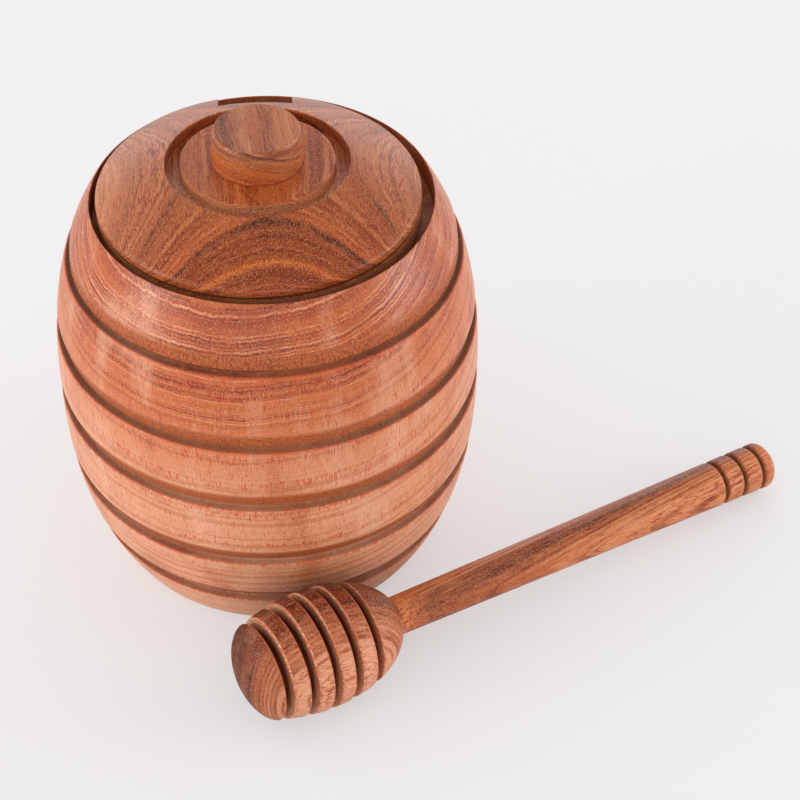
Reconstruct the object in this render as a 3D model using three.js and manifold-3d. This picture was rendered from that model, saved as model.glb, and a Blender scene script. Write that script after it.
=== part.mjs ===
// A turned hardwood honey pot: a grooved barrel, a loose lid that sits in the
// mouth, a knob glued into the lid, and the pot's own honey dipper.
// Millimetres, +Z up. The origin is the centre of the pot's foot, on the table.
// The lid's notch is at the back, at +Y, and the dipper lies in front, at -Y.
import * as THREE from "three";
import { mergeVertices } from "three/addons/utils/BufferGeometryUtils.js";
import Module from "manifold-3d";

const wasm = await Module();
wasm.setup();

// Barrel: outside
const pot_height = 99; // foot to the top of the rim
const rim_radius = 39;
const belly_radius = 50; // the widest ring
const belly_height = 48; // how high the widest ring is
const foot_radius = 38.9;
const upper_power = 2.55; // shape of the side over the belly, where 2 is an ellipse
const lower_power = 2.35; // and under it
const foot_round = 1.2; // softened corner round the foot
const groove_shares = [0.125, 0.2935, 0.483, 0.658, 0.848]; // lower edges, of the pot's height
const groove_width = 4; // up the wall
const groove_depth = 1.8; // into the wall
const groove_floor_rise = 0.9; // the floor of a groove slopes in and up by this much
const band_round = 0.5; // softened edge of each band between the grooves

// Barrel: mouth and inside
const lip_width = 0.4; // the side runs up to a narrow edge round the lid
const lip_round = 0.2; // softened top of that edge
const recess_depth = 5.6; // rim down to the ledge that carries the lid
const ledge_width = 3.6; // how far the ledge reaches in under the lid
const throat_depth = 4; // under the ledge the mouth widens over this height
const wall = 8; // thickness of the side
const floor_thickness = 9;
const floor_round = 10; // inside corner at the floor

// Lid
const lid_gap = 2; // room between the lid and the rim, all round
const lid_shift_share = 0.36; // the lid lies this share of the gap off centre, to -X
const lid_side = 7.1; // height of the lid's upright edge
const lid_chamfer = 0.6; // softened lower edge
const dome_rise = 10.7; // height that the dome would have over its edge, if it closed
const ring_radius = 20.6; // outer wall of the sunk ring
const ring_width = 3.3;
const ring_depth = 3.2; // below the edge of the dome
const plinth_step = 0.3; // the plinth stands this much over the edge of the dome
const plinth_round = 0.4;
const notch_width = 17.3; // room for the dipper's handle
const notch_depth = 12; // in from the lid's edge

// Knob
const knob_height = 7.9;
const knob_top_radius = 9.4; // flat top face
const knob_side_radius = 10.2;
const knob_swell = 4.6; // the side curves in over this height, up to the top face
const knob_power = 2.6; // shape of that curve
const knob_tenon_radius = 4.5;
const knob_tenon_length = 7;

// Dipper, with lengths from the tip of its nose
const dipper_length = 154.8;
const cap_length = 5.3; // the rounded nose, up to the first slot
const cap_radius = 11.9;
const head_length = 40.4;
const head_radius = 14.05;
const head_widest = 17.7; // where the head is widest
const heel_step = 0.25; // the head's end stands out round the neck
const slot_shares = [0, 0.165, 0.325, 0.487, 0.667]; // nose sides, of the length behind the cap
const slot_width = 2;
const slot_depth = 4.2;
const neck_radius = 4.65; // handle at the head
const end_radius = 6; // handle at its end
const end_dome = 3; // rounding of the end
const end_bead = 5.2; // last ring to the end
const ring_spacing = 6; // between the rings cut near the end
const ring_count = 3;
const ring_cut_width = 1.4;
const ring_cut_depth = 0.8;
const handle_tenon_radius = 3.4;
const handle_tenon_length = 15;

// Where the dipper lies
const dipper_gap = 1.2; // between the barrel and the dipper where they are closest
const dipper_turn = 27.4; // direction from the nose to the end, degrees
const dipper_slide = 23.6; // widest ring to the spot where the dipper passes the pot's axis

// Clearances and fineness
const fit_gap = 0.3; // between pieces that rest on or fit into each other
const overrun = 3; // how far a cut runs past the wood
const cap_power = 1.6; // curves of the dipper's head, where 2 is an ellipse
const nose_power = 1.4;
const shoulder_power = 2.4;
const pot_sides = 48;
const lid_sides = 48;
const knob_sides = 32;
const head_sides = 32;
const handle_sides = 24;

const deg = Math.PI / 180;
const groove_heights = groove_shares.map((share) => share * pot_height);
const slot_starts = slot_shares.map((share) => cap_length + share * (head_length - cap_length));
const ledge_height = pot_height - recess_depth;
const recess_radius = rim_radius - lip_width;
const mouth_radius = recess_radius - ledge_width;
const lid_radius = recess_radius - lid_gap;
const plinth_radius = ring_radius - ring_width;
const plinth_height = domeHeight(ring_radius) + plinth_step;

const finishes = {
  barrel: finish("#c27a52", 0.45),
  lid: finish("#b06b49", 0.4),
  knob: finish("#a85f3d", 0.45),
  head: finish("#ae6440", 0.42),
  handle: finish("#95512f", 0.4),
};

function finish(color, roughness) {
  return new THREE.MeshStandardMaterial({ color, roughness, metalness: 0 });
}

// A radius that falls from the widest to the far one, at a share of the way.
function swelling(widest_radius, far_radius, share, power) {
  const fall = 1 - (far_radius / widest_radius) ** 2;
  return widest_radius * Math.sqrt(1 - fall * share ** power);
}

// The barrel's radius at a height. Two curves meet at the belly: one runs down
// to the foot's radius and the other up to the rim's.
function barrelRadius(height) {
  const above = height > belly_height;
  const far_radius = above ? rim_radius : foot_radius;
  const run = above ? pot_height - belly_height : belly_height;
  const power = above ? upper_power : lower_power;
  return swelling(belly_radius, far_radius, Math.abs(height - belly_height) / run, power);
}

// Height of the lid's dome above the lid's underside, at a radius.
function domeHeight(radius) {
  const sphere = (lid_radius ** 2 + dome_rise ** 2) / (2 * dome_rise);
  return lid_side + Math.sqrt(sphere ** 2 - radius ** 2) - (sphere - dome_rise);
}

// The dipper head's radius at a distance from its nose.
function headRadius(along) {
  if (along < cap_length) return swelling(cap_radius, 0, 1 - along / cap_length, cap_power);
  const nose_side = along < head_widest;
  const power = nose_side ? nose_power : shoulder_power;
  const run = nose_side ? head_widest - cap_length : head_length - head_widest;
  const far_radius = nose_side ? cap_radius : neck_radius + heel_step;
  return swelling(head_radius, far_radius, Math.abs(along - head_widest) / run, power);
}

// The handle's radius, which grows evenly from the neck to the end.
function handleRadius(along) {
  return THREE.MathUtils.mapLinear(along, head_length, dipper_length, neck_radius, end_radius);
}

// Points along a curved side, from one height to another, both ends included.
function side(radiusAt, from, to, steps) {
  const points = [];
  for (let i = 0; i <= steps; i++) {
    const height = THREE.MathUtils.lerp(from, to, i / steps);
    points.push([radiusAt(height), height]);
  }
  return points;
}

// Drops the shading data, merges seams and poles, and leaves out the
// triangles that a pole makes empty.
function closed(geometry) {
  geometry.deleteAttribute("normal");
  geometry.deleteAttribute("uv");
  const merged = mergeVertices(geometry);
  const index = merged.index.array;
  const kept = [];
  for (let i = 0; i < index.length; i += 3) {
    const [a, b, c] = index.slice(i, i + 3);
    if (a !== b && b !== c && c !== a) kept.push(a, b, c);
  }
  merged.setIndex(kept);
  return merged;
}

// Turns an outline of [radius, height] points round Z.
function turned(outline, sides) {
  const points = outline.map(([radius, height]) => new THREE.Vector2(radius, height));
  const lathe = new THREE.LatheGeometry(points, sides);
  lathe.rotateX(Math.PI / 2);
  return closed(lathe);
}

// Cuts one closed geometry out of another.
function cut(wood, tool) {
  const [a, b] = [wood, tool].map((geometry) => {
    const vertProperties = new Float32Array(geometry.attributes.position.array);
    const triVerts = new Uint32Array(geometry.index.array);
    return new wasm.Manifold(new wasm.Mesh({ numProp: 3, vertProperties, triVerts }));
  });
  const mesh = a.subtract(b).getMesh();
  const geometry = new THREE.BufferGeometry();
  geometry.setAttribute("position", new THREE.BufferAttribute(mesh.vertProperties, mesh.numProp));
  geometry.setIndex(new THREE.BufferAttribute(mesh.triVerts, 1));
  return geometry;
}

function piece(name, geometry, material) {
  const mesh = new THREE.Mesh(geometry, material);
  mesh.name = name;
  return mesh;
}

// One band between two grooves, with softened edges.
function band(low, high) {
  const lower = low + band_round;
  const upper = high - band_round;
  const bows = 3;
  return [
    [barrelRadius(low) - band_round, low],
    ...side(barrelRadius, lower, upper, bows),
    [barrelRadius(high) - band_round, high],
  ];
}

// The floor of the groove that starts at a height.
function grooveFloor(low) {
  const high = low + groove_width;
  return [
    [barrelRadius(low) - groove_depth, low + groove_floor_rise],
    [barrelRadius(high) - groove_depth, high - band_round],
  ];
}

function potBody() {
  const outline = [[0, 0], [barrelRadius(0) - foot_round, 0]];
  let low = foot_round;
  for (const groove of groove_heights) {
    outline.push(...band(low, groove).slice(low === foot_round ? 1 : 0), ...grooveFloor(groove));
    low = groove + groove_width;
  }
  const shoulder_steps = 4;
  outline.push([barrelRadius(low) - band_round, low]);
  outline.push(...side(barrelRadius, low + band_round, pot_height - lip_round, shoulder_steps));
  outline.push([recess_radius + lip_round, pot_height]);
  outline.push([recess_radius, pot_height - lip_round], [recess_radius, ledge_height]);
  outline.push([mouth_radius, ledge_height]);
  const inside = (height) => barrelRadius(height) - wall;
  const corner_height = floor_thickness + floor_round;
  const inside_steps = 6;
  outline.push(...side(inside, ledge_height - throat_depth, corner_height, inside_steps));
  const corner_steps = 3;
  for (let i = 1; i <= corner_steps; i++) {
    const angle = (i / corner_steps) * (Math.PI / 2);
    const radius = inside(corner_height) - floor_round * (1 - Math.cos(angle));
    outline.push([radius, corner_height - floor_round * Math.sin(angle)]);
  }
  outline.push([0, floor_thickness]);
  return piece("pot_body", turned(outline, pot_sides), finishes.barrel);
}

function lidPlate() {
  const dome_steps = 6;
  const ring_floor = domeHeight(ring_radius) - ring_depth;
  const bore_radius = knob_tenon_radius + fit_gap;
  const bore_floor = plinth_height - knob_tenon_length;
  const outline = [[0, 0], [lid_radius - lid_chamfer, 0], [lid_radius, lid_chamfer]];
  for (let i = 0; i <= dome_steps; i++) {
    const radius = THREE.MathUtils.lerp(lid_radius, ring_radius, i / dome_steps);
    outline.push([radius, domeHeight(radius)]);
  }
  outline.push([ring_radius, ring_floor], [plinth_radius, ring_floor]);
  outline.push([plinth_radius, plinth_height - plinth_round]);
  outline.push([plinth_radius - plinth_round, plinth_height]);
  outline.push([bore_radius, plinth_height], [bore_radius, bore_floor], [0, bore_floor]);
  const tall = plinth_height + 2 * overrun;
  const notch = new THREE.BoxGeometry(notch_width, notch_depth + overrun, tall);
  notch.translate(0, lid_radius - notch_depth + (notch_depth + overrun) / 2, plinth_height / 2);
  return piece("lid", cut(turned(outline, lid_sides), closed(notch)), finishes.lid);
}

// The knob stands on the plinth, with its tenon in the lid's bore.
function lidKnob() {
  const tenon_tip = fit_gap - knob_tenon_length;
  const swell_start = knob_height - knob_swell;
  const knobRadius = (height) => {
    const share = (height - swell_start) / knob_swell;
    return swelling(knob_side_radius, knob_top_radius, share, knob_power);
  };
  const swell_steps = 4;
  const outline = [[0, tenon_tip], [knob_tenon_radius, tenon_tip], [knob_tenon_radius, 0]];
  outline.push([knob_side_radius, 0]);
  outline.push(...side(knobRadius, swell_start, knob_height, swell_steps), [0, knob_height]);
  const knob = piece("lid_knob", turned(outline, knob_sides), finishes.knob);
  knob.position.z = plinth_height + fit_gap;
  return knob;
}

function lid() {
  const group = new THREE.Group();
  group.add(lidPlate(), lidKnob());
  group.position.set(-lid_gap * lid_shift_share, 0, ledge_height + fit_gap);
  return group;
}

// The head: a nose, a disc between each two slots, and the shoulder.
function dipperHead() {
  const nose_steps = 5;
  const disc_steps = 2;
  const shoulder_steps = 6;
  const outline = [];
  for (let i = 0; i <= nose_steps; i++) {
    const along = cap_length * (i / nose_steps) ** 2;
    outline.push([headRadius(along), along]);
  }
  slot_starts.forEach((start, i) => {
    const end = start + slot_width;
    const next = slot_starts[i + 1] ?? head_length;
    const steps = i + 1 < slot_starts.length ? disc_steps : shoulder_steps;
    outline.push([headRadius(start) - slot_depth, start], [headRadius(end) - slot_depth, end]);
    outline.push(...side(headRadius, end, next, steps));
  });
  const bore_radius = handle_tenon_radius + fit_gap;
  const bore_floor = head_length - handle_tenon_length;
  outline.push([bore_radius, head_length], [bore_radius, bore_floor], [0, bore_floor]);
  return piece("dipper_head", turned(outline, head_sides), finishes.head);
}

// The handle: a tenon, a long taper, rings near the end and a domed end.
function dipperHandle() {
  const tenon_tip = head_length - handle_tenon_length + fit_gap;
  const shoulder = head_length + fit_gap;
  const outline = [[0, tenon_tip], [handle_tenon_radius, tenon_tip]];
  outline.push([handle_tenon_radius, shoulder], [handleRadius(shoulder), shoulder]);
  for (let i = ring_count - 1; i >= 0; i--) {
    const middle = dipper_length - end_bead - i * ring_spacing;
    const [before, after] = [middle - ring_cut_width / 2, middle + ring_cut_width / 2];
    outline.push([handleRadius(before), before]);
    outline.push([handleRadius(middle) - ring_cut_depth, middle]);
    outline.push([handleRadius(after), after]);
  }
  const dome_steps = 4;
  for (let i = 0; i <= dome_steps; i++) {
    const angle = (i / dome_steps) * (Math.PI / 2);
    const along = dipper_length - end_dome * (1 - Math.sin(angle));
    outline.push([end_radius * Math.cos(angle), along]);
  }
  return piece("dipper_handle", turned(outline, handle_sides), finishes.handle);
}

// How far a point has to move along a level direction to clear the barrel.
function pushNeeded(point, outward) {
  const clear = barrelRadius(point.z) + dipper_gap;
  const out = point.dot(outward);
  const aside = Math.hypot(point.x, point.y) ** 2 - out ** 2;
  return aside < clear ** 2 ? Math.sqrt(clear ** 2 - aside) - out : 0;
}

// The dipper lies on the table on its head and the end of its handle, with its
// head against the pot.
function dipper() {
  const group = new THREE.Group();
  group.add(dipperHead(), dipperHandle());
  const reach = dipper_length - end_dome - head_widest;
  const tilt = Math.atan((head_radius - end_radius) / reach);
  const turn = dipper_turn * deg;
  const forward = new THREE.Vector3(Math.cos(turn), Math.sin(turn), 0);
  const outward = new THREE.Vector3(Math.sin(turn), -Math.cos(turn), 0);
  group.rotation.set(0, Math.PI / 2 + tilt, turn, "ZYX");
  group.position.copy(forward).multiplyScalar(-dipper_slide - head_widest * Math.cos(tilt));
  group.updateMatrixWorld(true);
  group.position.z = -new THREE.Box3().setFromObject(group, true).min.z;
  group.updateMatrixWorld(true);
  let push = 0;
  const point = new THREE.Vector3();
  for (const mesh of group.children) {
    const places = mesh.geometry.attributes.position;
    for (let i = 0; i < places.count; i++) {
      point.fromBufferAttribute(places, i).applyMatrix4(mesh.matrixWorld);
      push = Math.max(push, pushNeeded(point, outward));
    }
  }
  group.position.addScaledVector(outward, push);
  return group;
}

const honey_pot = new THREE.Group();
honey_pot.add(potBody(), lid(), dipper());

export default honey_pot;
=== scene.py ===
import math

import bmesh
import bpy
from mathutils import Euler, Matrix, Vector


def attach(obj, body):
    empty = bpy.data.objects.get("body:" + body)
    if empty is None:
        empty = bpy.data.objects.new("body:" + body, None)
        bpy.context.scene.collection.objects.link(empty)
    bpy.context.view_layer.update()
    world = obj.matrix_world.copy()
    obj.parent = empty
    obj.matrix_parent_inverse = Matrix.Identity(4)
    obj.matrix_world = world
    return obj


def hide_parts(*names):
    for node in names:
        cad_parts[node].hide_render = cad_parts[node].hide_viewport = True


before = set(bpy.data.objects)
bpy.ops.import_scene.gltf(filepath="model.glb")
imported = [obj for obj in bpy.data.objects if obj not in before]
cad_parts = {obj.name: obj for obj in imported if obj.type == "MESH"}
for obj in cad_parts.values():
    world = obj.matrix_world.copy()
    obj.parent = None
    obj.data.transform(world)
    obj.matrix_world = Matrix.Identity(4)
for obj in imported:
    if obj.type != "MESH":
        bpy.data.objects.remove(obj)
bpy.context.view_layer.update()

MM = 0.001
SHARP_FROM = math.radians(50)

# Barrel. GROOVE_WALL is how far over a groove's corner its wall ends, and
# SLOPE_BEND the share of its way out at which the slope over the wall bends.
POT_HEIGHT = 99.0
RIM_RADIUS = 39.0
BELLY_RADIUS = 49.99
BELLY_HEIGHT = 48.0
FOOT_RADIUS = 38.9
GROOVES = [12.4, 29.1, 47.8, 65.1, 84.0]
GROOVE_WIDTH = 5.0
GROOVE_DEPTH = 1.35
GROOVE_WALL = 1.3
SLOPE_BEND = 0.7
LEDGE_HEIGHT = 93.4
RECESS_RADIUS = 38.75
MOUTH_RADIUS = 35.0
WALL = 8.0
FLOOR = 9.0
FLOOR_CORNER = 9.0

# Lid and knob. The knob's heights are over its foot.
LID_PLACE = (-0.72, 0.0, 93.7)
LID_RADIUS = 36.6
LID_SIDE = 7.1
DOME_RISE = 10.7
LID_LINE = 4.85
LINE_DEPTH = 0.45
RING_RADIUS = 20.6
RING_WIDTH = 3.3
RING_DEPTH = 3.2
NOTCH_WIDTH = 17.3
NOTCH_DEPTH = 12.0
PLINTH_HEIGHT = 14.88
BORE_RADIUS = 4.8
BORE_FLOOR = 8.0
TENON_RADIUS = 4.5
TENON_LENGTH = 6.7
KNOB_FOOT = LID_PLACE[2] + PLINTH_HEIGHT + 0.3
KNOB_RING = -0.25
KNOB_SIDE = 10.2
KNOB_TOP = 9.4
KNOB_HEIGHT = 7.9
KNOB_SWELL = 4.6

# Dipper, along its own axis from the tip of the nose. HANDLE_CROSS is the angle
# at which the handle was cut across the fibres.
DIPPER_LENGTH = 154.8
CAP_LENGTH = 5.3
CAP_RADIUS = 11.74
HEAD_LENGTH = 40.4
HEAD_RADIUS = 14.05
HEAD_WIDEST = 17.7
HEEL_RADIUS = 4.9
SLOTS = [5.3, 11.09, 16.71, 22.39, 28.71]
SLOT_WIDTH = 2.0
SLOT_DEPTH = 4.2
SOCKET_RADIUS = 3.7
SOCKET_DEPTH = 15.0
STUB_RADIUS = 3.4
STUB_LENGTH = 14.7
NECK_RADIUS = 4.65
END_RADIUS = 6.0
END_DOME = 3.0
CUTS = [137.6, 143.6, 149.6]
CUT_DEPTH = 1.0
CUT_HALF = 0.8
NOSE_PLACE = (-9.85, -70.72, 15.23)
DIPPER_TILT = math.radians(3.435)
DIPPER_TURN = math.radians(27.4)
HANDLE_CROSS = math.radians(3.6)


def swelling(widest, far, share, power):
    """A radius that falls from the widest to the far one, at a share of the way."""
    return widest * math.sqrt(1 - (1 - (far / widest) ** 2) * share**power)


def barrel_radius(height):
    """The barrel's side: one curve from the belly to the rim, one to the foot."""
    if height < BELLY_HEIGHT:
        return swelling(BELLY_RADIUS, FOOT_RADIUS, 1 - height / BELLY_HEIGHT, 2.35)
    share = (height - BELLY_HEIGHT) / (POT_HEIGHT - BELLY_HEIGHT)
    return swelling(BELLY_RADIUS, RIM_RADIUS, share, 2.55)


def dome_height(radius):
    """The lid's low dome, a cap of a sphere."""
    sphere = (LID_RADIUS**2 + DOME_RISE**2) / (2 * DOME_RISE)
    return LID_SIDE + math.sqrt(sphere**2 - radius**2) - (sphere - DOME_RISE)


def head_radius(along):
    """The dipper's egg-shaped head: a round cap, a nose and a fuller shoulder."""
    if along < CAP_LENGTH:
        return swelling(CAP_RADIUS, 0, 1 - along / CAP_LENGTH, 1.6)
    if along < HEAD_WIDEST:
        share = (HEAD_WIDEST - along) / (HEAD_WIDEST - CAP_LENGTH)
        return swelling(HEAD_RADIUS, CAP_RADIUS, share, 1.4)
    share = (along - HEAD_WIDEST) / (HEAD_LENGTH - HEAD_WIDEST)
    return swelling(HEAD_RADIUS, HEEL_RADIUS, share, 2.4)


def handle_radius(along):
    """The handle's straight taper, from the thin neck to the thick end."""
    share = (along - HEAD_LENGTH) / (DIPPER_LENGTH - HEAD_LENGTH)
    return NECK_RADIUS + share * (END_RADIUS - NECK_RADIUS)


def side(radius_at, low, high, step, inset=1.2):
    """Points on a curved side, kept clear of the rounded corners at both ends."""
    low, high = low + inset, high - inset
    count = max(1, round(abs(high - low) / step))
    heights = [low + (high - low) * i / count for i in range(count + 1)]
    return [(radius_at(height), height, 0) for height in heights]


def turned(name, outline, segments, place=Matrix(), cutter=None):
    """A piece off the lathe. The outline's points are radius, height and the
    radius that their corner is rounded to."""
    bm = bmesh.new()
    spots = [bm.verts.new((radius, 0, height)) for radius, height, _ in outline]
    for pair in zip(spots, spots[1:]):
        bm.edges.new(pair)
    for size in sorted({corner for _, _, corner in outline if corner}):
        corners = [spot for spot, point in zip(spots, outline) if point[2] == size]
        bmesh.ops.bevel(bm, geom=corners, offset=size, offset_type="OFFSET", affect="VERTICES",
                        segments=8 if size > 3 else 4, profile=0.5, material=-1)
    bmesh.ops.spin(bm, geom=bm.verts[:] + bm.edges[:], axis=(0, 0, 1), cent=(0, 0, 0),
                   angle=math.tau, steps=segments, use_merge=True)
    bmesh.ops.remove_doubles(bm, verts=bm.verts[:], dist=0.0005)
    bmesh.ops.recalc_face_normals(bm, faces=bm.faces[:])
    for face in bm.faces:
        face.smooth = True
    mesh = bpy.data.meshes.new(name)
    bm.to_mesh(mesh)
    bm.free()
    piece = bpy.data.objects.new(name, mesh)
    bpy.context.scene.collection.objects.link(piece)
    if cutter is not None:
        cut_out(piece, cutter)
    mesh = piece.data
    mesh.transform(Matrix.Scale(MM, 4) @ place)
    even = piece.modifiers.new("even_shading", "WEIGHTED_NORMAL")
    even.keep_sharp = True
    return piece


def cut_out(piece, cutter):
    """Saws the cutter's shape out of a piece, with crisp edges."""
    cut = piece.modifiers.new("saw_cut", "BOOLEAN")
    cut.operation = "DIFFERENCE"
    cut.object = cutter
    cut.solver = "EXACT"
    bpy.context.view_layer.update()
    sawn = piece.evaluated_get(bpy.context.evaluated_depsgraph_get())
    mesh = bpy.data.meshes.new_from_object(sawn)
    piece.modifiers.clear()
    piece.data = mesh
    mesh.name = piece.name
    bpy.data.objects.remove(cutter)
    mesh.set_sharp_from_angle(angle=SHARP_FROM)


def block(low, high):
    """A plain saw block between two corners, used only as a cutter."""
    bm = bmesh.new()
    bmesh.ops.create_cube(bm, size=1)
    low, high = Vector(low), Vector(high)
    bmesh.ops.scale(bm, vec=high - low, verts=bm.verts[:])
    bmesh.ops.translate(bm, vec=(low + high) / 2, verts=bm.verts[:])
    mesh = bpy.data.meshes.new("saw_block")
    bm.to_mesh(mesh)
    bm.free()
    cutter = bpy.data.objects.new("saw_block", mesh)
    bpy.context.scene.collection.objects.link(cutter)
    return cutter


def mark(piece, name, value_at):
    """Writes a number on each point of a piece, for its finish to read."""
    layer = piece.data.attributes.new(name, "FLOAT", "POINT")
    for spot, vertex in zip(layer.data, piece.data.vertices):
        spot.value = value_at(vertex.co / MM)


# Pieces


def groove_outline(groove):
    """One groove: the corner of the band under it, a ledge cut in over that
    corner, a short wall, and the bent slope out to the band above."""
    edge = barrel_radius(groove)
    inner = edge - GROOVE_DEPTH
    wall = groove + GROOVE_WALL
    high = groove + GROOVE_WIDTH
    return [
        (barrel_radius(groove - 0.5), groove - 0.5, 0),
        (edge, groove, 0.25),
        (edge - 0.5, groove + 0.17, 0),
        (inner - 0.15, groove + 0.5, 0.2),
        (inner, wall, 0.2),
        (inner + SLOPE_BEND * (barrel_radius(high) - inner), wall + SLOPE_BEND * (high - wall), 0),
        (barrel_radius(high), high, 0.6),
    ]


def inside_radius(height):
    """The hollow's side, which keeps the wall's thickness."""
    return barrel_radius(height) - WALL


def make_barrel():
    """The pot: grooved outside, a thin rim, a ledge for the lid and a hollow."""
    outline = [(0, 0, 0), (FOOT_RADIUS, 0, 1.2)]
    low = 0
    for groove in GROOVES:
        outline += side(barrel_radius, low, groove, 1.5, 0.8)
        outline += groove_outline(groove)
        low = groove + GROOVE_WIDTH
    outline += side(barrel_radius, low, POT_HEIGHT + 0.8, 1.5)
    outline += [
        (RIM_RADIUS, POT_HEIGHT, 0.1),
        (RECESS_RADIUS, POT_HEIGHT, 0.15),
        (RECESS_RADIUS, LEDGE_HEIGHT, 0.3),
        (MOUTH_RADIUS, LEDGE_HEIGHT, 0.6),
    ]
    outline += side(inside_radius, LEDGE_HEIGHT - 2.8, FLOOR + 10, -2.5, -1.2)[1:]
    outline += [(inside_radius(FLOOR + 10), FLOOR, FLOOR_CORNER), (0, FLOOR, 0)]
    return turned("barrel", outline, 192)


def make_lid():
    """The lid: a low dome with a sunk ring round a plinth, a line cut round its
    side, a bore for the knob and a notch for the dipper."""
    floor = dome_height(RING_RADIUS) - RING_DEPTH
    plinth = RING_RADIUS - RING_WIDTH
    outline = [
        (0, 0, 0),
        (LID_RADIUS, 0, 0.6),
        (LID_RADIUS, LID_LINE - 0.8, 0),
        (LID_RADIUS, LID_LINE - 0.45, 0.05),
        (LID_RADIUS - LINE_DEPTH, LID_LINE - 0.3, 0.05),
        (LID_RADIUS - LINE_DEPTH, LID_LINE + 0.3, 0.05),
        (LID_RADIUS, LID_LINE + 0.45, 0.05),
        (LID_RADIUS, LID_SIDE, 0.8),
    ]
    for i in range(1, 16):
        radius = LID_RADIUS + (RING_RADIUS - LID_RADIUS) * i / 16
        outline.append((radius, dome_height(radius), 0))
    outline += [
        (RING_RADIUS, dome_height(RING_RADIUS), 0.35),
        (RING_RADIUS, floor, 0.3),
        (plinth, floor, 0.3),
        (plinth, PLINTH_HEIGHT, 0.45),
        (BORE_RADIUS, PLINTH_HEIGHT, 0.2),
        (BORE_RADIUS, BORE_FLOOR, 0.3),
        (0, BORE_FLOOR, 0),
    ]
    reach = LID_RADIUS - NOTCH_DEPTH
    cutter = block((-NOTCH_WIDTH / 2, reach, -5), (NOTCH_WIDTH / 2, LID_RADIUS + 5, 20))
    return turned("lid_plate", outline, 160, Matrix.Translation(LID_PLACE), cutter)


def make_knob():
    """The knob: a tenon, a straight side and a swelling that closes to the top."""
    outline = [
        (0, -TENON_LENGTH, 0),
        (TENON_RADIUS, -TENON_LENGTH, 0.4),
        (TENON_RADIUS, KNOB_RING, 0),
        (KNOB_SIDE, KNOB_RING, 0.15),
        (KNOB_SIDE, KNOB_HEIGHT - KNOB_SWELL, 0),
    ]
    for i in range(1, 9):
        share = i / 9
        radius = swelling(KNOB_SIDE, KNOB_TOP, share, 2.6)
        outline.append((radius, KNOB_HEIGHT - KNOB_SWELL * (1 - share), 0))
    outline += [(KNOB_TOP, KNOB_HEIGHT, 0.15), (0, KNOB_HEIGHT, 0)]
    return turned("knob", outline, 96, Matrix.Translation((LID_PLACE[0], LID_PLACE[1], KNOB_FOOT)))


def dipper_turn(across=0.0):
    """Lays an upright axis along the dipper's, or at an angle across it."""
    turn = Matrix.Rotation(DIPPER_TURN + across, 4, "Z")
    return turn @ Matrix.Rotation(math.pi / 2 + DIPPER_TILT, 4, "Y")


def dipper_place():
    """Moves a piece turned upright to where the dipper lies."""
    return Matrix.Translation(NOSE_PLACE) @ dipper_turn()


def make_dipper_head():
    """The dipper's head: an egg with five slots and a socket for the handle."""
    outline = []
    for i in range(13):
        along = (CAP_LENGTH - 0.5) * (i / 12) ** 2
        outline.append((head_radius(along), along, 0))
    for start, after in zip(SLOTS, SLOTS[1:] + [HEAD_LENGTH]):
        end = start + SLOT_WIDTH
        outline += [
            (head_radius(start), start, 0.3),
            (head_radius(start) - SLOT_DEPTH, start, 0.3),
            (head_radius(end) - SLOT_DEPTH, end, 0.3),
            (head_radius(end), end, 0.3),
        ]
        outline += side(head_radius, end, after, 0.8, 0.6)
    outline += [
        (HEEL_RADIUS, HEAD_LENGTH, 0.2),
        (SOCKET_RADIUS, HEAD_LENGTH, 0),
        (SOCKET_RADIUS, HEAD_LENGTH - SOCKET_DEPTH, 0.3),
        (0, HEAD_LENGTH - SOCKET_DEPTH, 0),
    ]
    return turned("dipper_grooved_head", outline, 144, dipper_place())


def make_dipper_handle():
    """The handle: a stub in the head, a tapered rod, three cuts and a domed end."""
    shoulder = HEAD_LENGTH + 0.05
    outline = [
        (0, HEAD_LENGTH - STUB_LENGTH, 0),
        (STUB_RADIUS, HEAD_LENGTH - STUB_LENGTH, 0.3),
        (STUB_RADIUS, shoulder, 0),
        (handle_radius(shoulder), shoulder, 0.15),
    ]
    low = shoulder
    for cut in CUTS:
        start, end = cut - CUT_HALF, cut + CUT_HALF
        outline += side(handle_radius, low, start, 8, 0.7)
        outline += [
            (handle_radius(start), start, 0.4),
            (handle_radius(cut) - CUT_DEPTH, cut - 0.25, 0.1),
            (handle_radius(cut) - CUT_DEPTH, cut + 0.25, 0.1),
            (handle_radius(end), end, 0.4),
        ]
        low = end
    for i in range(11):
        angle = math.pi / 2 * i / 10
        along = DIPPER_LENGTH - END_DOME * (1 - math.sin(angle))
        outline.append((END_RADIUS * math.cos(angle), along, 0))
    return turned("dipper_rod", outline, 72, dipper_place())


# Finishes


# Every piece is sheesham: sawn from the log, turned, sanded and rubbed with oil.
# The eye gets warm red-brown layers that the lathe cuts into arcs and stripes,
# thin dark seams, open pores and pale flecks, under a low satin sheen that is
# duller where the tool left the wood rough. Each pattern has its size in
# millimetres across and along the fibres, its detail and its roughness. Real
# pores are 0.1 to 0.3 mm wide and fibres finer still, so these two, the flecks
# and the crumbs of torn wood are drawn as coarse as they need to show.
PATTERNS = {
    "log_wander": (30, 70, 1.0, 0.5),
    "fibre_wave": (1.6, 9, 3.0, 0.6),
    "line_breaks": (5, 9, 2.0, 0.5),
    "seam_patches": (9, 30, 2.0, 0.5),
    "clouds": (13, 34, 3.0, 0.6),
    "fibres": (0.42, 12, 4.0, 0.65),
    "pores": (0.3, 2.6, 2.0, 0.5),
    "flecks": (0.22, 0.4, 2.0, 0.6),
    "crumbs": (0.28, 0.8, 2.0, 0.6),
    "ragged_edges": (0.8, 3, 2.0, 0.5),
}

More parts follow.
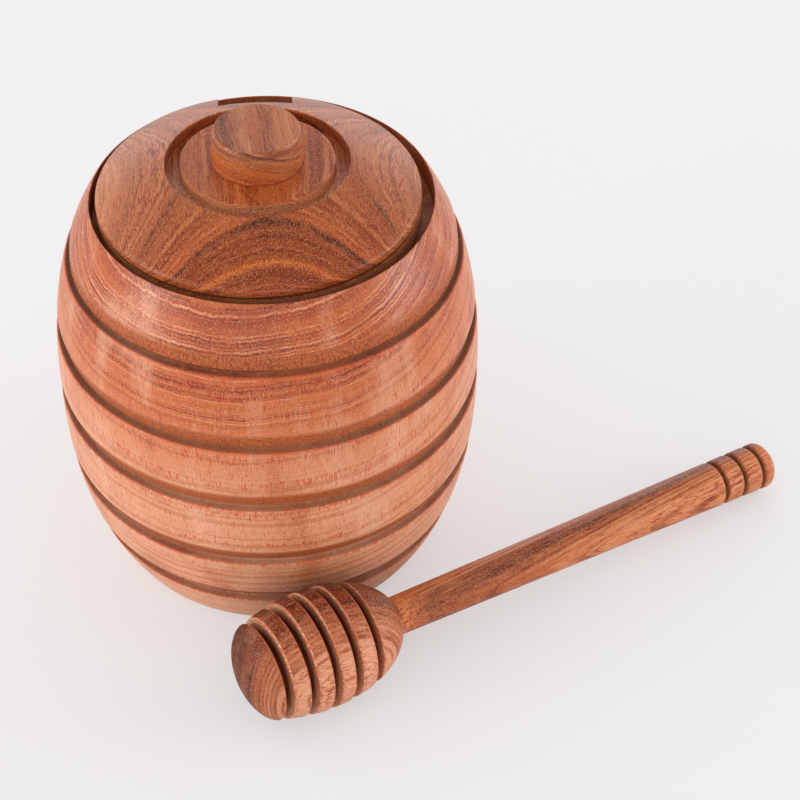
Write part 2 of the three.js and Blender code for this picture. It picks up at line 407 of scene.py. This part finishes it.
# Spacing of the broad bands and of the lathe's fine lines, and the grain's
# relief, all in millimetres. Sanded wood has less relief, and this is what shows.
BROAD_LINES = 3.4
LATHE_LINES = 0.4
RELIEF = 0.12
OIL_IOR = 1.5

# What the finishes share where a piece doesn't say otherwise. Lengths are in mm.
SANDED = {
    "wander": 0.6,      # how far the layers wander over the log's length
    "curl": 0.3,        # how far the interlocked fibres sway
    "skew": 0.0,        # how much nearer the bark the layers get per mm of height
    "calm": -1.0,       # the share of the span under which growth lines are faint
    "lines": 1.0,       # strength of the growth lines
    "fibres": 0.6,      # strength of the fibres
    "shade_and_stain": 0.85,      # strength of the painted shade in hollows, over the dark wood that the sander didn't reach
    "gloss": 0.28,      # level of the oil's reflection
    "torn_and_lit": "b9602c",   # roughly cut wood, and on the lid and the rod's neck the paler colour of painted light
    "pit": "c0602c",    # the red of the pores
    "edge": "e0976f",   # fresh wood on a cut corner
}

# Settings of nodes that come again and again, and the sockets of a colour mix.
TIMES = {"operation": "MULTIPLY"}
PLUS = {"operation": "ADD"}
TIMES_PLUS = {"operation": "MULTIPLY_ADD"}
SMOOTH = {"interpolation_type": "SMOOTHSTEP"}
SHADE = {"data_type": "RGBA", "blend_type": "MULTIPLY"}
COVER = {"data_type": "RGBA", "blend_type": "MIX"}
SHARE, UNDER, OVER = 0, 6, 7
NONE = "000000"


def linear(colour):
    """An sRGB hex colour as the linear values that a shader takes."""
    parts = [int(colour[i:i + 2], 16) / 255 for i in (0, 2, 4)]
    return [c / 12.92 if c <= 0.04045 else ((c + 0.055) / 1.055) ** 2.4 for c in parts] + [1]


def add(tree, kind, settings, inputs):
    """Adds a node. Each input is a node, whose first live output is linked, a
    socket to link from, or a value to set."""
    node = tree.nodes.new("ShaderNode" + kind)
    for name, value in settings.items():
        setattr(node, name, value)
    for name, value in inputs.items():
        if isinstance(value, bpy.types.Node):
            value = next(output for output in value.outputs if output.enabled)
        if isinstance(value, bpy.types.NodeSocket):
            tree.links.new(value, node.inputs[name])
        else:
            node.inputs[name].default_value = value
    return node


def set_stops(node, stops, way="LINEAR"):
    """Gives a colour ramp its stops, each a place and a hex colour."""
    node.color_ramp.interpolation = way
    places = node.color_ramp.elements
    while len(places) < len(stops):
        places.new(0.5)
    for spot, (place, colour) in zip(places, sorted(stops)):
        spot.position = place
        spot.color = linear(colour)


def pattern(tree, log, name):
    """One of the wood's patterns, stretched along the fibres."""
    across, along, detail, rough = PATTERNS[name]
    grid = add(tree, "VectorMath", TIMES, {0: log, 1: (1 / across, 1 / across, 1 / along)})
    return add(tree, "TexNoise", {}, {"Vector": grid, "Scale": 1.0, "Detail": detail, "Roughness": rough})


def stripes(tree, depth, spacing, detail, rough=0.5):
    """Lines about this far apart, which change with one measure only."""
    steps = add(tree, "Math", {"operation": "DIVIDE"}, {0: depth, 1: spacing})
    return add(tree, "TexNoise", {"noise_dimensions": "1D"}, {
        "W": steps, "Scale": 1.0, "Detail": detail, "Roughness": rough,
    })


def tint(tree, wood, way, colour, field, reach, strength=(0.0, 1.0), within=None):
    """Lays a colour on the wood. Its strength goes from the first to the second
    as the field goes through its reach, and is cut by within where that is given."""
    share = add(tree, "MapRange", SMOOTH, {
        "Value": field, "From Min": reach[0], "From Max": reach[1],
        "To Min": strength[0], "To Max": strength[1],
    })
    if within is not None:
        share = add(tree, "Math", TIMES, {0: within, 1: share})
    return add(tree, "Mix", way, {SHARE: share, UNDER: wood, OVER: colour})


def log_depth(tree, coords, log, look):
    """Distance from the log's heart in mm, with the slow wander of the log, the
    sway of its interlocked fibres that makes the lines zigzag, and the skew."""
    flat = add(tree, "VectorMath", TIMES, {0: log, 1: (1, 1, 0)})
    depth = add(tree, "VectorMath", {"operation": "LENGTH"}, {0: flat})
    for name, reach in (("log_wander", look["wander"]), ("fibre_wave", look["curl"])):
        sway = add(tree, "Math", TIMES_PLUS, {0: pattern(tree, log, name), 1: reach * 2, 2: -reach})
        depth = add(tree, "Math", PLUS, {0: depth, 1: sway})
    if look["skew"]:
        height = add(tree, "SeparateXYZ", {}, {0: coords}).outputs["Z"]
        lean = add(tree, "Math", TIMES, {0: height, 1: look["skew"] / MM})
        depth = add(tree, "Math", PLUS, {0: depth, 1: lean})
    return depth


def layered_wood(tree, depth, look):
    """The depth as a share of the span, and the layers' colours over it."""
    start, end = look["span"]
    from_start = add(tree, "Math", {"operation": "SUBTRACT"}, {0: depth, 1: start})
    share = add(tree, "Math", {"operation": "DIVIDE", "use_clamp": True}, {0: from_start, 1: end - start})
    wood = add(tree, "ValToRGB", {}, {0: share})
    set_stops(wood, look["layers"], "B_SPLINE")
    return share, wood


def growth_lines(tree, log, depth, share, wood, look):
    """Broad bands, and fine lines that are dark and pale by turns, broken along
    their length and faint in the calm part. Gives the wood and the fine lines."""
    wood = tint(tree, wood, SHADE, linear("d9b490"), stripes(tree, depth, BROAD_LINES, 1.0),
                (0.56, 0.34), (0.0, 0.6))
    fine = stripes(tree, depth, look["line"], 2.0, 0.55)
    breaks = add(tree, "MapRange", SMOOTH, {
        "Value": pattern(tree, log, "line_breaks"), "From Min": 0.35, "From Max": 0.6, "To Min": 0.25,
    })
    clear = add(tree, "MapRange", SMOOTH, {
        "Value": share, "From Min": look["calm"], "From Max": look["calm"] + 0.1,
        "To Min": 0.3 * look["lines"], "To Max": look["lines"],
    })
    breaks = add(tree, "Math", TIMES, {0: breaks, 1: clear})
    wood = tint(tree, wood, SHADE, linear("c0966c"), fine, (0.48, 0.38), within=breaks)
    wood = tint(tree, wood, COVER, linear(look["pale"]), fine, (0.57, 0.66), (0.0, 0.5), breaks)
    return wood, fine


def dark_seams(tree, log, share, wood, look):
    """The thin dark seams of sheesham, which come and go along the fibres."""
    drawn = add(tree, "ValToRGB", {}, {0: share})
    set_stops(drawn, look["seams"])
    return tint(tree, wood, SHADE, linear("5c3a32"), pattern(tree, log, "seam_patches"), (0.36, 0.52),
                within=drawn)


def clouds_and_fibres(tree, log, wood, look):
    """Paler and darker clouds, and the fibres. Gives the wood and the fibres."""
    clouds = pattern(tree, log, "clouds")
    wood = tint(tree, wood, COVER, linear(look["cloud"]), clouds, (0.52, 0.7), (0.0, 0.4))
    wood = tint(tree, wood, SHADE, linear("d9ae84"), clouds, (0.48, 0.3), (0.0, 0.6))
    fibres = pattern(tree, log, "fibres")
    wood = tint(tree, wood, SHADE, linear("cba078"), fibres, (0.52, 0.34), (0.0, look["fibres"]))
    wood = tint(tree, wood, COVER, linear(look["pale"]), fibres, (0.54, 0.74), (0.0, look["fibres"] * 0.4))
    return wood, fibres


def pores_and_flecks(tree, log, depth, wood, look):
    """Open pores, which crowd into rows that follow the layers, and pale flecks
    between them. Gives the wood and the pores."""
    crowding = add(tree, "MapRange", SMOOTH, {
        "Value": stripes(tree, depth, look["row"], 1.0), "From Min": 0.53, "From Max": 0.62, "To Max": 0.08,
    })
    field = add(tree, "Math", PLUS, {0: pattern(tree, log, "pores"), 1: crowding})
    pores = add(tree, "MapRange", SMOOTH, {"Value": field, "From Min": 0.61, "From Max": 0.67})
    strength = add(tree, "Math", TIMES, {0: pores, 1: 0.85})
    wood = add(tree, "Mix", SHADE, {SHARE: strength, UNDER: wood, OVER: linear(look["pit"])})
    flecks = pattern(tree, log, "flecks")
    return tint(tree, wood, COVER, linear(look["pale"]), flecks, (0.55, 0.63), (0.0, look["speck"])), pores


def tool_marks(tree, coords, log, wood, look):
    """Hollows get painted shade, a dark brown with the fine lines of the lathe, over the dark wood that the
    sander didn't reach. Torn wood is pale and crumbly, and the same pale colour is painted light where a
    piece marks a shaded place rough. Cut corners show a ragged line of fresh orange. Gives the wood and the
    hollows."""
    hollow, rough, corner = [
        add(tree, "Attribute", {"attribute_name": name}, {}).outputs["Fac"]
        for name in ("hollow", "rough", "corner")
    ]
    height = add(tree, "SeparateXYZ", {}, {0: coords}).outputs["Z"]
    turned_lines = stripes(tree, height, LATHE_LINES * MM, 2.0)
    # The painted shade: a dark brown with the lathe's lines, laid in by the hollow mark.
    shade_brown = add(tree, "Mix", COVER, {SHARE: turned_lines, UNDER: linear("2a0f02"), OVER: linear("6a3410")})
    shade_share = add(tree, "Math", TIMES, {0: hollow, 1: look["shade_and_stain"]})
    wood = add(tree, "Mix", COVER, {SHARE: shade_share, UNDER: wood, OVER: shade_brown})
    crumbs = pattern(tree, log, "crumbs")
    # Pale torn wood, which on the lid and the rod's neck is painted light.
    torn_and_lit_wood = tint(tree, linear(look["torn_and_lit"]), SHADE, linear("b88c68"), crumbs, (0.56, 0.4))
    wood = tint(tree, wood, COVER, torn_and_lit_wood, crumbs, (0.3, 0.45), (0.6, 0.95), rough)
    ragged = pattern(tree, log, "ragged_edges")
    wood = tint(tree, wood, COVER, linear(look["edge"]), ragged, (0.4, 0.6), (0.1, 0.8), corner)
    return wood, hollow


def grain_relief(tree, fibres, pores, fine):
    """The faint relief that is felt on sanded wood: raised fibres and growth
    lines, and sunk pores."""
    raised = add(tree, "Math", TIMES, {0: fibres, 1: 0.5})
    sunk = add(tree, "Math", TIMES, {0: pores, 1: -0.6})
    height = add(tree, "Math", PLUS, {0: raised, 1: sunk})
    ridges = add(tree, "Math", TIMES, {0: fine, 1: 0.25})
    height = add(tree, "Math", PLUS, {0: height, 1: ridges})
    return add(tree, "Bump", {}, {"Strength": 0.4, "Distance": RELIEF * MM, "Height": height})


def oiled_surface(tree, wood, fibres, hollow, grain, gloss):
    """Hand-rubbed oil: a satin sheen, duller on dark fibres and in the hollows."""
    satin = add(tree, "MapRange", SMOOTH, {
        "Value": fibres, "From Min": 0.35, "From Max": 0.65, "To Min": 0.4, "To Max": 0.32,
    })
    dull = add(tree, "Math", TIMES, {0: hollow, 1: 0.5})
    satin = add(tree, "Math", {"operation": "ADD", "use_clamp": True}, {0: satin, 1: dull})
    surface = add(tree, "BsdfPrincipled", {}, {
        "Base Color": wood, "Roughness": satin, "IOR": OIL_IOR,
        "Specular IOR Level": gloss, "Normal": grain,
    })
    add(tree, "OutputMaterial", {}, {0: surface})


def sheesham(name, look):
    """Oiled sheesham cut from a log. The log's heart runs through the point pith
    (mm), turned so that its own Z is the way the fibres run. span is the range of
    distances from the heart that the colours of layers and seams cover. line is
    how far apart the growth lines lie, and row the rows of pores. cloud is the
    paler wood, pale the light lines and flecks in it, and speck their strength."""
    material = bpy.data.materials.new(name)
    material.use_nodes = True
    tree = material.node_tree
    tree.nodes.clear()
    coords = add(tree, "TexCoord", {}, {}).outputs["Object"]
    log = add(tree, "Mapping", {"vector_type": "TEXTURE"}, {
        "Vector": coords, "Location": [c * MM for c in look["pith"]], "Rotation": look["turn"],
        "Scale": (MM, MM, MM),
    })
    depth = log_depth(tree, coords, log, look)
    share, wood = layered_wood(tree, depth, look)
    wood, fine = growth_lines(tree, log, depth, share, wood, look)
    if look["seams"]:
        wood = dark_seams(tree, log, share, wood, look)
    wood, fibres = clouds_and_fibres(tree, log, wood, look)
    wood, pores = pores_and_flecks(tree, log, depth, wood, look)
    wood, hollow = tool_marks(tree, coords, log, wood, look)
    grain = grain_relief(tree, fibres, pores, fine)
    oiled_surface(tree, wood, fibres, hollow, grain, look["gloss"])
    return material


def barrel_wood():
    """Pale, wide layers in level bands, plain round the belly and streaked with red-brown at the shoulder,
    with the strongest sheen of all the pieces. The pale low layers are partly painted light on the lower
    bands, which face down."""
    return sheesham("sheesham_barrel_oiled", dict(
        SANDED, pith=(10, 22, 0), turn=Euler((math.radians(-8), 0, 0)), span=(60, 260),
        layers=[
            (0.0, "e5ac84"), (0.2, "e3a47e"), (0.4, "de966e"), (0.62, "e09a76"),
            (0.78, "cd6f3b"), (0.92, "bb5821"), (1.0, "bb5a24"),
        ],
        seams=[], line=1.1, row=7.0, skew=2.0, wander=4.0, curl=0.9, calm=0.8, fibres=0.3, speck=0.35,
        cloud="e6b090", pale="ecb48c", pit="e88a58", edge="cc5424", shade_and_stain=0.97, gloss=0.42,
    ))


def lid_wood():
    """Close growth lines that the dome cuts into long arches: dark brown in the
    middle of the front and tan towards both sides, with two orange layers and
    three thin dark seams."""
    return sheesham("sheesham_lid_oiled", dict(
        SANDED, pith=(1, 0, 75), turn=Euler((math.radians(90), 0, 0)), span=(20, 50),
        layers=[
            (0.0, "a4522a"), (0.2, "8c3610"), (0.292, "85320d"), (0.302, "d4702e"), (0.31, "d4702e"),
            (0.32, "85320d"), (0.435, "8f3c17"), (0.455, "b85a2c"), (0.47, "b85a2c"), (0.49, "a2461c"),
            (0.6, "a3532c"), (0.78, "ba7048"), (1.0, "c88560"),
        ],
        seams=[
            (0.0, NONE), (0.42, NONE), (0.43, "ffffff"), (0.443, NONE), (0.605, NONE),
            (0.615, "d0d0d0"), (0.627, NONE), (0.732, NONE), (0.742, "b0b0b0"), (0.752, NONE),
        ],
        # Here torn_and_lit is only the pale painted light on the ring's front and on the lid's shaded lower
        # side.
        line=0.5, row=3.0, curl=0.4, lines=0.75, speck=0.65, cloud="b26232", pale="d48c56", torn_and_lit="f2bc92",
    ))


def knob_wood():
    """Plain brown wood with one dark seam, orange-red low on its side."""
    return sheesham("sheesham_knob_oiled", dict(
        SANDED, pith=(-10, 0, 80), turn=Euler((math.radians(90), 0, math.radians(4))), span=(20, 60),
        layers=[(0.0, "ba5a24"), (0.3, "ba5a24"), (0.42, "b0653e"), (1.0, "b46a44")],
        seams=[(0.0, NONE), (0.415, NONE), (0.425, "ffffff"), (0.435, NONE)],
        line=0.7, row=2.0, lines=0.6, speck=0.5, cloud="b87046", pale="d89a6c", torn_and_lit="e0a078",
    ))


def head_wood():
    """Strong contrast: dark brown along the top and round the left of the nose,
    pale salmon low on the side, and dark seams that make ovals on the nose."""
    return sheesham("sheesham_head_oiled", dict(
        SANDED, pith=(-13.5, -27.5, 14.4), turn=dipper_turn().to_euler(), span=(29, 54),
        layers=[
            (0.0, "5c2006"), (0.42, "722904"), (0.6, "903c0c"),
            (0.74, "b96639"), (0.87, "dc9570"), (1.0, "e6a584"),
        ],
        seams=[
            (0.0, NONE), (0.13, NONE), (0.15, "ffffff"), (0.18, NONE),
            (0.32, NONE), (0.34, "ffffff"), (0.37, NONE), (0.54, NONE), (0.56, "ffffff"), (0.59, NONE),
            (0.67, NONE), (0.68, "c0c0c0"), (0.7, NONE),
        ],
        line=0.7, row=4.0, lines=0.9, speck=0.5, cloud="d0906c", pale="e0a482", torn_and_lit="eac4a2",
        pit="d06a3c", edge="cc5f34", gloss=0.2,
    ))


def handle_wood():
    """Pale orange on both sides of a dark stripe, which starts at the neck and
    drifts across the rod, because the rod was cut across the fibres."""
    return sheesham("sheesham_rod_oiled", dict(
        SANDED, pith=(57.7, 9.1, 9.4), turn=dipper_turn(HANDLE_CROSS).to_euler(), span=(30, 50),
        layers=[
            (0.0, "e0905a"), (0.2, "d87c48"), (0.33, "ae5e34"), (0.45, "8a441f"),
            (0.57, "9a4e28"), (0.65, "d27d4b"), (1.0, "dc8e61"),
        ],
        seams=[(0.0, NONE), (0.48, NONE), (0.51, "d0d0d0"), (0.55, "b0b0b0"), (0.58, NONE)],
        # Here torn_and_lit is the neck's orange wood, made paler as painted light in the head's shadow.
        line=0.7, row=3.0, speck=0.45, cloud="cf8a5e", pale="e0a074", torn_and_lit="e88c54", pit="d06a3c",
    ))


def finish(piece, material, body, node):
    """Gives a piece its wood and the body it rides on, and hides the node that it stands for."""
    piece.data.materials.clear()
    piece.data.materials.append(material)
    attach(piece, body)
    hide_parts(node)


# Marks on the points


# The pot has no marks within INSIDE_RADIUS. The knob's dark and torn bands are
# heights over its foot, and the nose's end and dark arcs are lengths along the
# head. DIPPER_BACK stands a point of the dipper upright again, as it was turned.
INSIDE_RADIUS = MOUTH_RADIUS + 0.3
DARK_BAND = (5.9, 6.9)
TORN_BAND = (-0.1, 0.5)
NOSE_END = 4.9
NOSE_ARCS = (0.83, 2.13, 3.33)
DIPPER_BACK = dipper_place().inverted()


def clamped(value):
    """A share kept from 0 to 1."""
    return min(1, max(0, value))


def groove_under(height):
    """The groove that a height on the barrel belongs to."""
    return max([groove for groove in GROOVES if groove <= height + 0.3] or [-9])


def barrel_hollow(point):
    """Painted shade: in the grooves' ledges, over the dark wood that the sander didn't reach, and in the
    recess round the lid. The upper grooves are darker, and all are paler in front, where the light falls
    in, and near their corner."""
    radius = math.hypot(point.x, point.y)
    if point.z > LEDGE_HEIGHT - 0.5:
        return 0.3 if radius < RECESS_RADIUS + 0.05 else 0
    groove = groove_under(point.z)
    depth = barrel_radius(groove) - radius
    if radius < INSIDE_RADIUS or point.z > groove + GROOVE_WALL + 0.3 or depth < 0.1:
        return 0
    upper = clamped((groove - 30) / 35)
    front = max(0, -point.y / radius) ** 2
    return (0.8 + 0.2 * upper) * (1 - 0.4 * front) * (1 if depth > 0.4 else 0.6)


def barrel_rough(point):
    """The rough slope over each ledge, where the tool tore across the fibres."""
    groove = groove_under(point.z)
    radius = math.hypot(point.x, point.y)
    if radius < INSIDE_RADIUS or not groove + GROOVE_WALL - 0.05 < point.z < groove + GROOVE_WIDTH + 0.3:
        return 0
    return clamped((barrel_radius(point.z) - radius) / 0.3)


def barrel_corner(point):
    """The corner of the band under each groove."""
    near = min(abs(point.z + 0.1 - groove) for groove in GROOVES)
    return 1 if near < 0.2 and barrel_radius(point.z) - math.hypot(point.x, point.y) < 0.3 else 0


def lid_line(point):
    """The dark line turned round the lid's side, just over the rim, painted as shade in its groove."""
    radius = math.hypot(point.x - LID_PLACE[0], point.y)
    near = abs(point.z - LID_PLACE[2] - LID_LINE)
    return 1 if LID_RADIUS - 0.5 < radius < LID_RADIUS - 0.1 and near < 0.4 else 0


def lid_painted_light(point):
    """Painted light: the sunk ring's floor and the plinth's side are paler where they face forward, and the
    lid's side under the dark line is paler where the gap to the rim shades it."""
    radius = math.hypot(point.x - LID_PLACE[0], point.y)
    if radius > LID_RADIUS - 0.1 and point.z < LID_PLACE[2] + LID_LINE - 0.7:
        return 0.4
    if not RING_RADIUS - RING_WIDTH - 0.1 < radius < RING_RADIUS + 0.1 or point.z < 105:
        return 0
    sunk = LID_PLACE[2] + PLINTH_HEIGHT - 0.15 - point.z
    return clamped(sunk) * clamped(0.15 - point.y / radius)


def knob_hollow(point):
    """Painted shade: a darker band high on the knob's side, and a trace of it all round, so that the side
    is darker than the top.
    """
    if math.hypot(point.x - LID_PLACE[0], point.y) < KNOB_TOP - 0.3:
        return 0
    return 0.55 if DARK_BAND[0] < point.z - KNOB_FOOT < DARK_BAND[1] else 0.05


def knob_rough(point):
    """The ragged bright line round the knob's foot."""
    return 0.8 if TORN_BAND[0] < point.z - KNOB_FOOT < TORN_BAND[1] else 0


def along_dipper(point):
    """Distance from the nose along the dipper's axis, and radius from that axis."""
    own = DIPPER_BACK @ point
    return own.z, math.hypot(own.x, own.y)


def head_hollow(point):
    """The slots' bottoms, darkened as painted shade, and dark arcs round the left side of the nose."""
    along, radius = along_dipper(point)
    if along < NOSE_END:
        own = DIPPER_BACK @ point
        left = max(0, 0.9 * own.y - 0.45 * own.x) / max(radius, 1)
        arc = 0.75 if min(abs(along - place) for place in NOSE_ARCS) < 0.15 else 0.3
        return 0.22 + 0.7 * arc * left
    return clamped((head_radius(along) - radius - 2) / 1.6) if along < HEAD_LENGTH - 5.4 else 0


def head_rough(point):
    """The slot walls that face the nose, which are pale and freshly cut."""
    along, radius = along_dipper(point)
    near = min(abs(along - start - SLOT_WIDTH) for start in SLOTS)
    return 1 if near < 0.2 and radius > head_radius(along) - 2.8 else 0


def head_corner(point):
    """The slots' upper edges, where the fresh wood shows red."""
    along, radius = along_dipper(point)
    near = min(abs(abs(along - start - SLOT_WIDTH / 2) - SLOT_WIDTH / 2 - 0.1) for start in SLOTS)
    return 1 if near < 0.22 and head_radius(along) - radius < 0.35 else 0


def handle_hollow(point):
    """Painted shade in the cuts near the handle's end."""
    along, radius = along_dipper(point)
    near_end = CUTS[0] - 7.6 < along < DIPPER_LENGTH - END_DOME + 0.2
    return clamped((handle_radius(along) - radius - 0.1) / 0.5) if near_end else 0


def handle_neck_torn_and_lit(point):
    """The orange, roughly turned wood of the handle's neck, made paler with painted light where the head's
    shadow falls on it.
    """
    return 0.9 if along_dipper(point)[0] < HEAD_LENGTH + 5 else 0


# The five pieces


barrel = make_barrel()
lid = make_lid()
knob = make_knob()
head = make_dipper_head()
rod = make_dipper_handle()

mark(barrel, "hollow", barrel_hollow)
mark(barrel, "rough", barrel_rough)
mark(barrel, "corner", barrel_corner)
mark(lid, "hollow", lid_line)
mark(lid, "rough", lid_painted_light)
mark(knob, "hollow", knob_hollow)
mark(knob, "rough", knob_rough)
mark(head, "hollow", head_hollow)
mark(head, "rough", head_rough)
mark(head, "corner", head_corner)
mark(rod, "hollow", handle_hollow)
mark(rod, "rough", handle_neck_torn_and_lit)

finish(barrel, barrel_wood(), "pot", "pot_body")
finish(lid, lid_wood(), "lid", "lid")
finish(knob, knob_wood(), "lid", "lid_knob")
finish(head, head_wood(), "dipper", "dipper_head")
finish(rod, handle_wood(), "dipper", "dipper_handle")


# Studio


# Each lamp's name, place, the point it faces, its sides and its power in watts.
# ROOM_LIGHT_SEEN is how much brighter the camera sees the room than it shines,
# and PAPER_SEEN the share of plain white in the paper that the camera sees.
LAMPS = [
    ("left_softbox", (-1.1, 0.4, 0.7), (0, 0, 0.05), (1.2, 1.0), 3),
    ("left_strip_box", (-1.05, -0.4, 0.3), (0, 0, 0.08), (0.45, 0.4), 4.6),
    ("right_softbox", (1.2, 0.3, 0.5), (0, 0, 0.05), (1.0, 0.8), 2),
    ("right_strip_box", (1.15, -0.15, 0.22), (0, 0, 0.08), (0.5, 0.35), 3.9),
    ("back_softbox", (0.1, 1.3, 0.4), (0, 0, 0.08), (2.2, 0.7), 7),
    ("front_softbox", (-0.3, -1.2, 0.35), (0, 0, 0.04), (1.6, 0.6), 2.5),
]
ROOM_LIGHT = 0.74
ROOM_LIGHT_SEEN = 0.14
PAPER_HALF = 6
PAPER_SEEN = 0.55
CAMERA_PLACE = (0, -0.364314, 0.369599)
CAMERA_RIGHT = (0.99691755, -0.07790264, 0.00930452)
CAMERA_UP = (0.04583442, 0.67454458, 0.73680989)
LENS = 90.225


def white_paper():
    """Matt white paper. What the camera sees of it is lifted towards an even
    white, which keeps the object's shadow and adds no light to the object."""
    paper = bpy.data.materials.new("white_paper_matt")
    paper.use_nodes = True
    tree = paper.node_tree
    tree.nodes.clear()
    matt = add(tree, "BsdfDiffuse", {}, {"Color": linear("edeced")})
    sheet = add(tree, "Emission", {}, {"Color": linear("efeeef"), "Strength": 1.0})
    seen = add(tree, "LightPath", {}, {}).outputs["Is Camera Ray"]
    share = add(tree, "Math", TIMES, {0: seen, 1: PAPER_SEEN})
    mixed = add(tree, "MixShader", {}, {0: share, 1: matt, 2: sheet})
    add(tree, "OutputMaterial", {}, {0: mixed})
    return paper


def make_floor():
    """A wide sheet of paper under the object."""
    bm = bmesh.new()
    bmesh.ops.create_grid(bm, x_segments=1, y_segments=1, size=PAPER_HALF)
    mesh = bpy.data.meshes.new("paper_floor")
    bm.to_mesh(mesh)
    bm.free()
    floor = bpy.data.objects.new("paper_floor", mesh)
    bpy.context.scene.collection.objects.link(floor)
    mesh.materials.append(white_paper())


def make_lamp(name, place, aim, size, power):
    """A soft box that faces a point."""
    light = bpy.data.lights.new(name, "AREA")
    light.shape = "RECTANGLE"
    light.size, light.size_y = size
    light.energy = power
    lamp = bpy.data.objects.new(name, light)
    lamp.location = place
    lamp.rotation_euler = (Vector(aim) - Vector(place)).to_track_quat("-Z", "Y").to_euler()
    bpy.context.scene.collection.objects.link(lamp)


def make_room():
    """The even white light of the room, a little brighter as a background."""
    world = bpy.data.worlds.new("white_studio")
    world.use_nodes = True
    tree = world.node_tree
    sky = tree.nodes["Background"]
    sky.inputs["Color"].default_value = (1, 1, 1, 1)
    seen = add(tree, "LightPath", {}, {}).outputs["Is Camera Ray"]
    level = add(tree, "Math", TIMES_PLUS, {0: seen, 1: ROOM_LIGHT_SEEN, 2: ROOM_LIGHT})
    tree.links.new(level.outputs[0], sky.inputs["Strength"])
    bpy.context.scene.world = world


def make_camera():
    """The photograph's view, solved from the object's outline."""
    right, up = Vector(CAMERA_RIGHT), Vector(CAMERA_UP)
    camera = bpy.data.objects.new("camera", bpy.data.cameras.new("camera"))
    camera.data.lens = LENS
    camera.data.sensor_width = 36
    turn = Matrix((right, up, right.cross(up))).transposed()
    camera.matrix_world = Matrix.Translation(CAMERA_PLACE) @ turn.to_4x4()
    camera.data.clip_start = 0.01
    camera.data.clip_end = 50
    bpy.context.scene.collection.objects.link(camera)
    bpy.context.scene.camera = camera


make_floor()
for lamp in LAMPS:
    make_lamp(*lamp)
make_room()
make_camera()
bpy.context.scene.view_settings.view_transform = "Standard"
